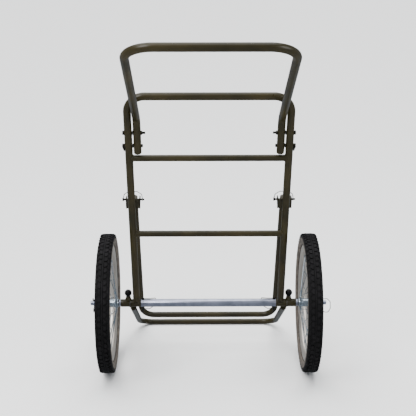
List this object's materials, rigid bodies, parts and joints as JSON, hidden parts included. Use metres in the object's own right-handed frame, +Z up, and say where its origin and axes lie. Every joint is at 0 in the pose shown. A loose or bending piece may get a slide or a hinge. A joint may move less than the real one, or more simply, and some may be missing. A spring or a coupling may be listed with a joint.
{
  "type": "folding two-wheeled utility cart",
  "caption": "Folding two-wheeled carrying cart of bent steel tube with spoked wheels, a fold-down handle, a nose frame and a swing-out support frame held by wire lock pins.",
  "frame": {"origin": "on the floor, under the middle of the cart's overall box", "axes": "+X to the operator's right along the axle, +Y away from the operator, +Z up from the floor"},
  "size_m": [0.8802, 1.1737, 1.3073],
  "materials": {
    "olive_coat": "satin powder coat",
    "zinc": "bright zinc plate",
    "black_oxide": "black oxide",
    "spring_wire": "dark spring steel",
    "rubber": "matte rubber",
    "chrome": "bright plate",
    "nylon": "moulded",
    "phenolic": "gloss black"
  },
  "bodies": {
    "frame": {"rail_left": "olive_coat", "rail_right": "olive_coat", "crossbar_upper": "olive_coat", "crossbar_lower": "olive_coat", "top_loop": "olive_coat", "nose_frame": "olive_coat", "bracket_left": "olive_coat", "bracket_right": "olive_coat", "sleeve_left": "olive_coat", "sleeve_right": "olive_coat", "lock_collar_left": "olive_coat", "lock_collar_right": "olive_coat", "axle_tube": "zinc", "stub_axle_left": "zinc", "stub_axle_right": "zinc", "plunger_spring_left": "spring_wire", "plunger_spring_right": "spring_wire", "washer_inner_left": "zinc", "washer_inner_right": "zinc", "washer_outer_left": "zinc", "washer_outer_right": "zinc", "bolt_upper_left": "black_oxide", "bolt_upper_right": "black_oxide", "bolt_lower_left": "black_oxide", "bolt_lower_right": "black_oxide", "nut_upper_left": "black_oxide", "nut_upper_right": "black_oxide", "spacer_upper_left": "nylon", "spacer_upper_right": "nylon", "spacer_lower_left": "nylon", "spacer_lower_right": "nylon", "support_pin_left": "black_oxide", "support_pin_right": "black_oxide", "axle_pin_left": "black_oxide", "axle_pin_right": "black_oxide", "hub_pin_left": "black_oxide", "hub_pin_right": "black_oxide"},
    "handle": {"handle": "olive_coat", "nut_lower_left": "black_oxide", "nut_lower_right": "black_oxide"},
    "support": {"support_frame": "olive_coat"},
    "wheel_left": {"tyre_left": "rubber", "rim_left": "chrome", "hub_left": "chrome", "bush_left": "nylon"},
    "wheel_right": {"tyre_right": "rubber", "rim_right": "chrome", "hub_right": "chrome", "bush_right": "nylon"},
    "plunger_left": {"plunger_left": "zinc", "knob_left": "phenolic"},
    "plunger_right": {"plunger_right": "zinc", "knob_right": "phenolic"},
    "support_bail_left": {"support_bail_left": "spring_wire"},
    "support_bail_right": {"support_bail_right": "spring_wire"},
    "axle_bail_left": {"axle_bail_left": "spring_wire"},
    "axle_bail_right": {"axle_bail_right": "spring_wire"},
    "hub_bail_left": {"hub_bail_left": "spring_wire"},
    "hub_bail_right": {"hub_bail_right": "spring_wire"}
  },
  "joints": [
    {"name": "handle_fold", "type": "hinge", "parent": "frame", "child": "handle", "pos_m": [0, -0.03973, 0.94398], "axis": [1, 0, 0], "range_deg": [0, 130]},
    {"name": "support_swing", "type": "hinge", "parent": "frame", "child": "support", "pos_m": [0, 0.08784, 0.68092], "axis": [1, 0, 0], "range_deg": [0, 100]},
    {"name": "wheel_left_spin", "type": "hinge", "parent": "frame", "child": "wheel_left", "pos_m": [-0.3665, 0.19248, 0.254], "axis": [1, 0, 0], "continuous": true},
    {"name": "wheel_right_spin", "type": "hinge", "parent": "frame", "child": "wheel_right", "pos_m": [0.3665, 0.19248, 0.254], "axis": [1, 0, 0], "continuous": true},
    {"name": "plunger_left_slide", "type": "slide", "parent": "frame", "child": "plunger_left", "axis": [0, 0, 1], "range_m": [0, 0.008], "stiffness_N_per_m": 1500, "springref_m": -0.004, "deforming": ["plunger_spring_left"]},
    {"name": "plunger_right_slide", "type": "slide", "parent": "frame", "child": "plunger_right", "axis": [0, 0, 1], "range_m": [0, 0.008], "stiffness_N_per_m": 1500, "springref_m": -0.004, "deforming": ["plunger_spring_right"]},
    {"name": "support_bail_left_swing", "type": "hinge", "parent": "frame", "child": "support_bail_left", "pos_m": [-0.2935, 0.08784, 0.68092], "axis": [0, -0.9478, -0.319], "range_deg": [0, 90]},
    {"name": "support_bail_right_swing", "type": "hinge", "parent": "frame", "child": "support_bail_right", "pos_m": [0.2245, 0.08784, 0.68092], "axis": [0, -0.9478, -0.319], "range_deg": [0, 90]},
    {"name": "axle_bail_left_swing", "type": "hinge", "parent": "frame", "child": "axle_bail_left", "pos_m": [-0.2403, 0.19248, 0.2712], "axis": [1, 0, 0], "range_deg": [0, 80]},
    {"name": "axle_bail_right_swing", "type": "hinge", "parent": "frame", "child": "axle_bail_right", "pos_m": [0.2403, 0.19248, 0.2712], "axis": [1, 0, 0], "range_deg": [0, 80]},
    {"name": "hub_bail_left_swing", "type": "hinge", "parent": "frame", "child": "hub_bail_left", "pos_m": [-0.417, 0.19248, 0.2646], "axis": [1, 0, 0], "range_deg": [0, 90]},
    {"name": "hub_bail_right_swing", "type": "hinge", "parent": "frame", "child": "hub_bail_right", "pos_m": [0.417, 0.19248, 0.2646], "axis": [0, -1, 0], "range_deg": [0, 90]}
  ]
}
